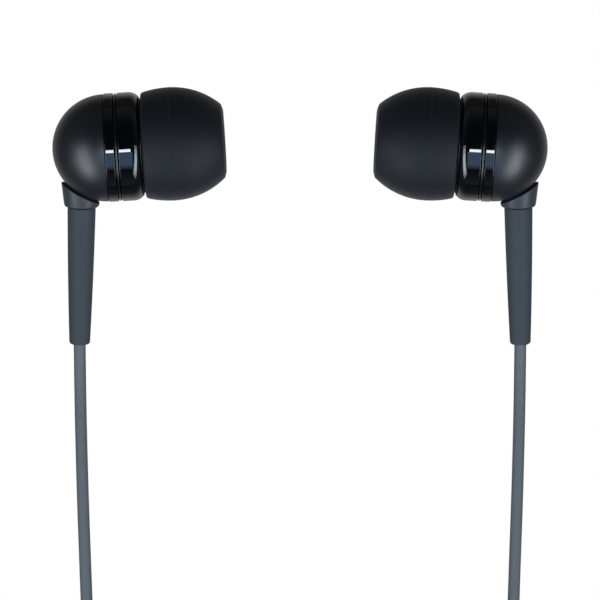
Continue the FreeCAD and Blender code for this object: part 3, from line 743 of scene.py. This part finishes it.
def collar_surface(name, side):
    """The flared collar: rings about the lead's axis, whose tops slide along it until they meet a ball just
    outside the dome, so that the upper edge is a saddle."""
    rotation, origin = lead_place(side)
    centre = rotation.T @ (earpiece_place(side)[1] - origin)
    angle = np.arange(144) * 2 * math.pi / 144
    flare = math.tan(math.radians(7.5))
    end, radius, gap_ball = collar_end, collar_mm, dome_mm + collar_gap

    def reach(ring, ball):
        """How far along the axis a line at each angle and radius leaves a ball."""
        aside = ring * np.cos(angle) - centre[1]
        above = ring * np.sin(angle) - centre[2]
        return centre[0] + np.sqrt(ball**2 - (aside**2 + above**2))

    rows = []
    for along in (5.6, end - 0.02):
        rows.append((np.full_like(angle, along), collar_bore))
    edge = [np.array(point) for point in ((end, 1.1), (end, radius), (5.0, radius))]
    for along, ring in round_corner(*edge, collar_rounding, 8):
        rows.append((np.full_like(angle, along), ring))
    mouth = radius + 1.9 * flare
    top = reach(mouth, gap_ball + 0.07)
    for share in np.linspace(0, 1, 14)[1:]:
        along = (end - collar_rounding - 0.02) * (1 - share) + top * share
        rows.append((along, radius + (end - along) * flare))
    rim = radius + (end - top) * flare
    for drop, ball in ((0.02, 0.03), (0.07, 0.005), (0.2, 0.0), (0.75, 0.0)):
        rows.append((reach(mouth - drop, gap_ball + ball), rim - drop))
    rows.append((np.full_like(angle, 3.4), collar_bore))
    local = np.stack(
        [np.stack([a, r * np.cos(angle), r * np.sin(angle)], -1) for a, r in rows]
    )
    points = (local.reshape(-1, 3) @ rotation.T + origin) * MM
    faces = grid_faces(len(rows), len(angle), True, True)
    stands_for = name.replace("_collar_skin", "_cable_collar")
    return add_mesh(name, points, faces, "headset", [stands_for])


def screen_wires(name, side):
    """A woven screen: round wires in two directions, each a wave that passes over and under the others,
    and as long as the circle allows where it lies."""
    rotation, origin = earpiece_place(side)
    pitch, wire, circle, sides = 0.22, 0.045, 1.84, 6
    level = nozzle_end_x - 0.1
    offsets = np.arange(-circle + pitch / 2, circle, pitch)
    ring = np.arange(sides) * math.pi / 3
    points, faces = [], []
    base = 0
    for direction in (0, 1):
        for number, offset in enumerate(offsets):
            half = math.sqrt(circle**2 - offset**2)
            along = np.linspace(-half, half, max(6, int(half / pitch * 8)))
            sway = (-1) ** (number + direction) * wire * np.sin(math.pi * along / pitch)
            centre = [None, None, None]
            centre[0] = level + sway
            centre[1 + direction] = along
            centre[2 - direction] = np.full_like(along, offset)
            line = np.stack(centre, -1)[:, None, :]
            spread = np.zeros((sides, 3))
            spread[:, 0] = wire * np.cos(ring)
            spread[:, 2 - direction] = wire * np.sin(ring)
            points.append((line + spread).reshape(-1, 3))
            faces.append(grid_faces(len(along), sides, False, True) + base)
            base += len(along) * sides
    points = (np.vstack(points) @ rotation.T + origin) * MM
    stands_for = name.replace("_screen_wires", "_nozzle_screen")
    return add_mesh(name, points, np.vstack(faces), "headset", [stands_for])


def add_earpiece(name, side):
    """The finished surfaces of one earpiece."""
    place, lead = earpiece_place(side), lead_place(side)
    turned = (
        ("dome", dome_outline(), place, "headset", "rear_housing", "housing"),
        ("narrow_trim", rear_trim_outline(), place, "headset", "rear_trim_ring", "trim"),
        ("divider", divider_outline(), place, "headset", "trim_divider", "divider"),
        ("wide_trim", front_trim_outline(), place, "headset", "front_trim_ring", "trim"),
        ("silicone_tip", tip_outline(), place, f"{name}_tip", "ear_tip", "silicone"),
        ("relief_sleeve", relief_outline(), lead, "headset", "strain_relief", "relief"),
    )
    for part, shape, where, body, stands_for, slot in turned:
        piece = lathe(f"{name}_{part}", where, shape, body, [f"{name}_{stands_for}"])
        finish(piece, slot)
    for piece, slot in (
        (collar_surface(f"{name}_collar_skin", side), "collar"),
        (screen_wires(f"{name}_screen_wires", side), "screen"),
    ):
        finish(piece, slot)


# --------------------------------------------------------------------------------------------------
# Light and floor


def soft_light(name, place, aim, size, radiance, colour=(1, 1, 1)):
    """A rectangular light facing a point, as bright as its radiance says whatever its size."""
    lamp = bpy.data.lights.new(name, "AREA")
    lamp.shape = "RECTANGLE"
    lamp.size, lamp.size_y = size
    lamp.energy = radiance * math.pi * size[0] * size[1]
    lamp.color = colour
    holder = bpy.data.objects.new(name, lamp)
    away = np.array(place) - np.array(aim)
    away = away / np.linalg.norm(away)
    across = np.cross((0, 1, 0), away)
    across = across / np.linalg.norm(across)
    upward = np.cross(away, across)
    turn = np.eye(4)
    turn[:3, :3] = np.column_stack([across, upward, away])
    turn[:3, 3] = place
    holder.matrix_world = Matrix(turn.tolist())
    bpy.context.scene.collection.objects.link(holder)


light_height = 0.6
steps_apart = 0.004
panel_start = 13.0
panel_ends = (42, 46, 50)
panel_width = 0.5
panel_radiance = 0.7
panel_colour = (0.37, 0.62, 1.0)
strip_angle = 10.0
strip_size = (0.13, 0.06)
strip_radiance = 24.0
strip_colour = (0.88, 0.98, 1.0)
box_sizes = ((0.2, 0.42), (0.26, 0.66), (0.32, 0.86))
box_way = (0.68, -0.49, 0.54)
box_distance = 0.68
box_radiance = 3.0
box_colour = (0.88, 0.95, 1.0)


def add_lights():
    """A cool panel on the lead's side, whose far end fades in steps, a bright strip beside it, and a box at
    each side, whose edges fade in steps. Angles are from straight up, seen from the table."""
    aim = (0, 0, 0.006)
    near = math.tan(math.radians(panel_start)) * light_height
    for number, end in enumerate(panel_ends):
        far = math.tan(math.radians(end)) * light_height
        place = (0, -(near + far) / 2, light_height + steps_apart * number)
        size = (panel_width, far - near)
        below = (0, place[1], 0)
        soft_light(f"panel_{number}", place, below, size, panel_radiance, panel_colour)
    strip = -math.tan(math.radians(strip_angle)) * light_height
    place, below = (0, strip, light_height), (0, strip, 0)
    soft_light("strip", place, below, strip_size, strip_radiance, strip_colour)
    for name, side in SIDES.items():
        way = np.array([side * box_way[0], *box_way[1:]])
        for number, size in enumerate(box_sizes):
            place = way * (box_distance + steps_apart * number)
            soft_light(f"{name}_box_{number}", place, aim, size, box_radiance, box_colour)


def add_room():
    """A dark room whose walls glow faintly near the table."""
    world = bpy.data.worlds.new("room")
    bpy.context.scene.world = world
    world.use_nodes = True
    graph = Graph(world.node_tree)
    direction = graph.add("ShaderNodeTexCoord").outputs["Generated"]
    height = graph.add("ShaderNodeSeparateXYZ", {"Vector": direction}).outputs["Z"]
    glow = graph.spread(height, 0.75, 0.0)
    colour = graph.between(glow, (0.008, 0.009, 0.011, 1), (0.15, 0.17, 0.2, 1))
    graph.tree.links.new(colour, world.node_tree.nodes["Background"].inputs["Color"])


# reach and strength of the painted pool of light beside an earpiece and of the painted shadow under it, as
# reflections see the table
glow_reach, glow_full = 0.021, 0.0105
glow_least, glow_most = 0.08, 0.52
shade_full, shade_reach = 0.005, 0.0085
shade_least = 0.06
floor_half = 1.5


def floor_glow(graph):
    """How bright the table is in reflections: a painted pool of light beside an earpiece and a painted shadow
    under it, by distance from its axis, a line from the dome's centre to the tip."""
    place = graph.add("ShaderNodeTexCoord").outputs["Object"]
    axes = graph.add("ShaderNodeSeparateXYZ", {"Vector": place}).outputs
    out = graph.maths("ABSOLUTE", axes["X"])
    dome_end = earpiece_mm[0] * MM
    tip_end = dome_end - tip_peak_x * MM
    past_dome = graph.maths("SUBTRACT", out, dome_end)
    past_tip = graph.maths("SUBTRACT", tip_end, out)
    past = graph.maths("MAXIMUM", graph.maths("MAXIMUM", past_dome, past_tip), 0.0)
    beside = graph.maths("SUBTRACT", axes["Y"], earpiece_mm[1] * MM)
    square = graph.maths("MULTIPLY", beside, beside)
    distance = graph.maths("SQRT", graph.maths("MULTIPLY_ADD", past, past, square))
    # painted light beside the earpiece, times painted shadow under it
    painted_pool = graph.spread(distance, glow_reach, glow_full, glow_least, glow_most)
    shade = graph.spread(distance, shade_full, shade_reach, shade_least, 1.0)
    return graph.maths("MULTIPLY", painted_pool, shade)


def add_floor():
    """A wide white surface, lit from within so that it stays white, and far less bright in reflections, which
    see a painted pool of light and a painted shadow near each earpiece.
    """
    half = floor_half
    points = [(-half, -half, 0), (half, -half, 0), (half, half, 0), (-half, half, 0)]
    mesh = bpy.data.meshes.new("table_top")
    mesh.from_pydata(points, [], [(0, 1, 2, 3)])
    floor = bpy.data.objects.new("table_top", mesh)
    bpy.context.scene.collection.objects.link(floor)
    material = bpy.data.materials.new("white_table")
    material.use_nodes = True
    graph = Graph(material.node_tree)
    material.node_tree.nodes.remove(material.node_tree.nodes["Principled BSDF"])
    seen = graph.add("ShaderNodeLightPath").outputs["Is Camera Ray"]
    strength = graph.spread(seen, 0.0, 1.0, floor_glow(graph), 1.0)
    material.cycles.emission_sampling = "NONE"
    glow = graph.add("ShaderNodeEmission", {"Strength": strength})
    output = material.node_tree.nodes["Material Output"]
    graph.tree.links.new(glow.outputs[0], output.inputs["Surface"])
    mesh.materials.append(material)


bpy.context.scene.view_settings.view_transform = "Standard"
add_camera()
leads = add_leads()
for name, lead in leads.items():
    finish(lead, "lead")
slots = {entry["node"]: entry["material_slot"] for entry in frame["record"]["subparts"]}
for node, piece in nodes.items():
    finish(piece, slots[node])
for name, side in SIDES.items():
    add_earpiece(name, side)
add_lights()
add_room()
add_floor()
